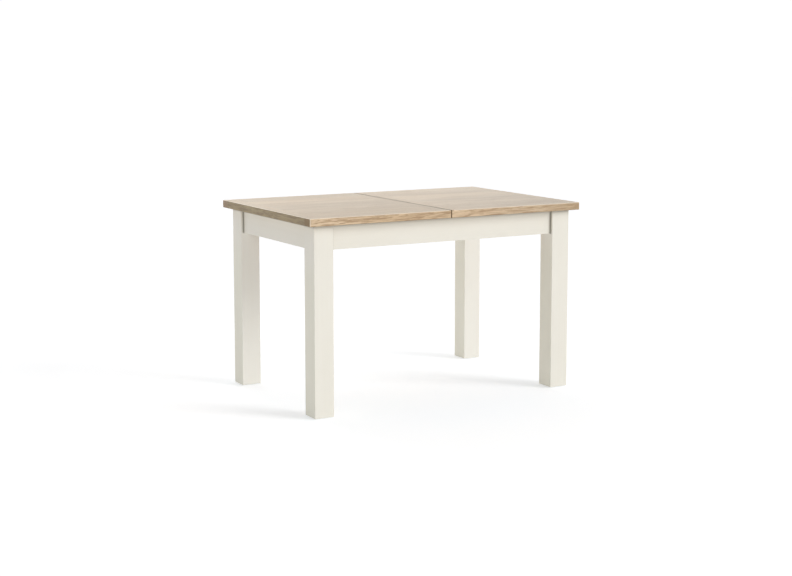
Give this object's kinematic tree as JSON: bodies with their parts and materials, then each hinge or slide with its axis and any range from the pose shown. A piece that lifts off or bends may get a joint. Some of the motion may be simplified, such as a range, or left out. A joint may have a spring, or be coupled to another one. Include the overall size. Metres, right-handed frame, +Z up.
{
  "type": "extending dining table",
  "caption": "Rectangular dining table on square painted legs with an oak top split across the middle; both halves slide apart together on geared wooden runners over a folded leaf.",
  "frame": {"origin": "on the floor under the middle of the closed top, where the split line crosses the middle of the depth", "axes": "+X along the table's length, the way the right half of the top slides; +Y to the back; +Z up"},
  "size_m": [1.2, 0.79, 0.75],
  "materials": {
    "ivory_paint": "satin ivory paint over hardwood",
    "oak_field": "matt lacquered pale oak in staves along the table",
    "oak_long_rail": "matt lacquered oak, grain along the table",
    "oak_cross_rail": "matt lacquered oak, grain across the table",
    "oak_leaf": "matt lacquered pale oak",
    "beech": "waxed beech",
    "softwood": "planed pine",
    "nylon": "moulded white nylon",
    "felt": "dark pressed felt",
    "glide_plastic": "grey-brown moulded plastic",
    "brass": "brushed brass",
    "zinc_steel": "zinc plated steel"
  },
  "bodies": {
    "frame": {"apron_back": "ivory_paint", "apron_front": "ivory_paint", "apron_glide_pads": "felt", "apron_left": "ivory_paint", "apron_right": "ivory_paint", "corner_block_back_left": "softwood", "corner_block_back_right": "softwood", "corner_block_front_left": "softwood", "corner_block_front_right": "softwood", "corner_block_screws": "zinc_steel", "corner_bolts": "zinc_steel", "corner_nuts": "zinc_steel", "corner_washers": "zinc_steel", "cross_rail_left": "softwood", "cross_rail_right": "softwood", "foot_glides": "glide_plastic", "leaf_dowels": "beech", "leaf_hinges": "zinc_steel", "leaf_lower": "oak_leaf", "leaf_pivot_brackets": "zinc_steel", "leaf_pivot_rod": "zinc_steel", "leaf_rest_bar": "softwood", "leaf_rest_pads": "felt", "leaf_saddles": "softwood", "leaf_upper": "oak_leaf", "leg_back_left": "ivory_paint", "leg_back_right": "ivory_paint", "leg_front_left": "ivory_paint", "leg_front_right": "ivory_paint", "pinion_axles": "zinc_steel", "rail_screws": "zinc_steel", "slide_beam_back": "beech", "slide_beam_front": "beech"},
    "top_right": {"catch_keepers": "brass", "racks_right": "nylon", "runner_right_back": "beech", "runner_right_front": "beech", "stop_pegs_right": "beech", "top_dowels": "beech", "top_right_field": "oak_field", "top_right_rail_back": "oak_long_rail", "top_right_rail_end": "oak_cross_rail", "top_right_rail_front": "oak_long_rail", "top_right_rail_split": "oak_cross_rail", "top_screws_right": "zinc_steel"},
    "top_left": {"catch_plates": "brass", "racks_left": "nylon", "runner_left_back": "beech", "runner_left_front": "beech", "stop_pegs_left": "beech", "top_left_field": "oak_field", "top_left_rail_back": "oak_long_rail", "top_left_rail_end": "oak_cross_rail", "top_left_rail_front": "oak_long_rail", "top_left_rail_split": "oak_cross_rail", "top_screws_left": "zinc_steel"},
    "pinion_front": {"pinion_front": "nylon"},
    "pinion_back": {"pinion_back": "nylon"},
    "catch_lever_front": {"catch_lever_front": "brass"},
    "catch_lever_back": {"catch_lever_back": "brass"}
  },
  "joints": [
    {"name": "right_top_slide", "type": "slide", "parent": "frame", "child": "top_right", "axis": [1, 0, 0], "range_m": [0, 0.215]},
    {"name": "left_top_slide", "type": "slide", "parent": "frame", "child": "top_left", "axis": [-1, 0, 0], "range_m": [0, 0.215]},
    {"name": "front_pinion_spin", "type": "hinge", "parent": "frame", "child": "pinion_front", "pos_m": [0, -0.238, 0.688], "axis": [0, 0, 1], "range_deg": [0, 880]},
    {"name": "back_pinion_spin", "type": "hinge", "parent": "frame", "child": "pinion_back", "pos_m": [0, 0.238, 0.688], "axis": [0, 0, -1], "range_deg": [0, 880]},
    {"name": "front_catch_turn", "type": "hinge", "parent": "top_left", "child": "catch_lever_front", "pos_m": [-0.02, -0.278, 0.7145], "axis": [0, 0, 1], "range_deg": [0, 90]},
    {"name": "back_catch_turn", "type": "hinge", "parent": "top_left", "child": "catch_lever_back", "pos_m": [-0.02, 0.278, 0.7145], "axis": [0, 0, -1], "range_deg": [0, 90]}
  ],
  "couplings": [
    {"joint": "left_top_slide", "follows": "right_top_slide", "ratio": 1},
    {"joint": "front_pinion_spin", "follows": "right_top_slide", "rad_per_m": 71.429},
    {"joint": "back_pinion_spin", "follows": "right_top_slide", "rad_per_m": 71.429}
  ]
}
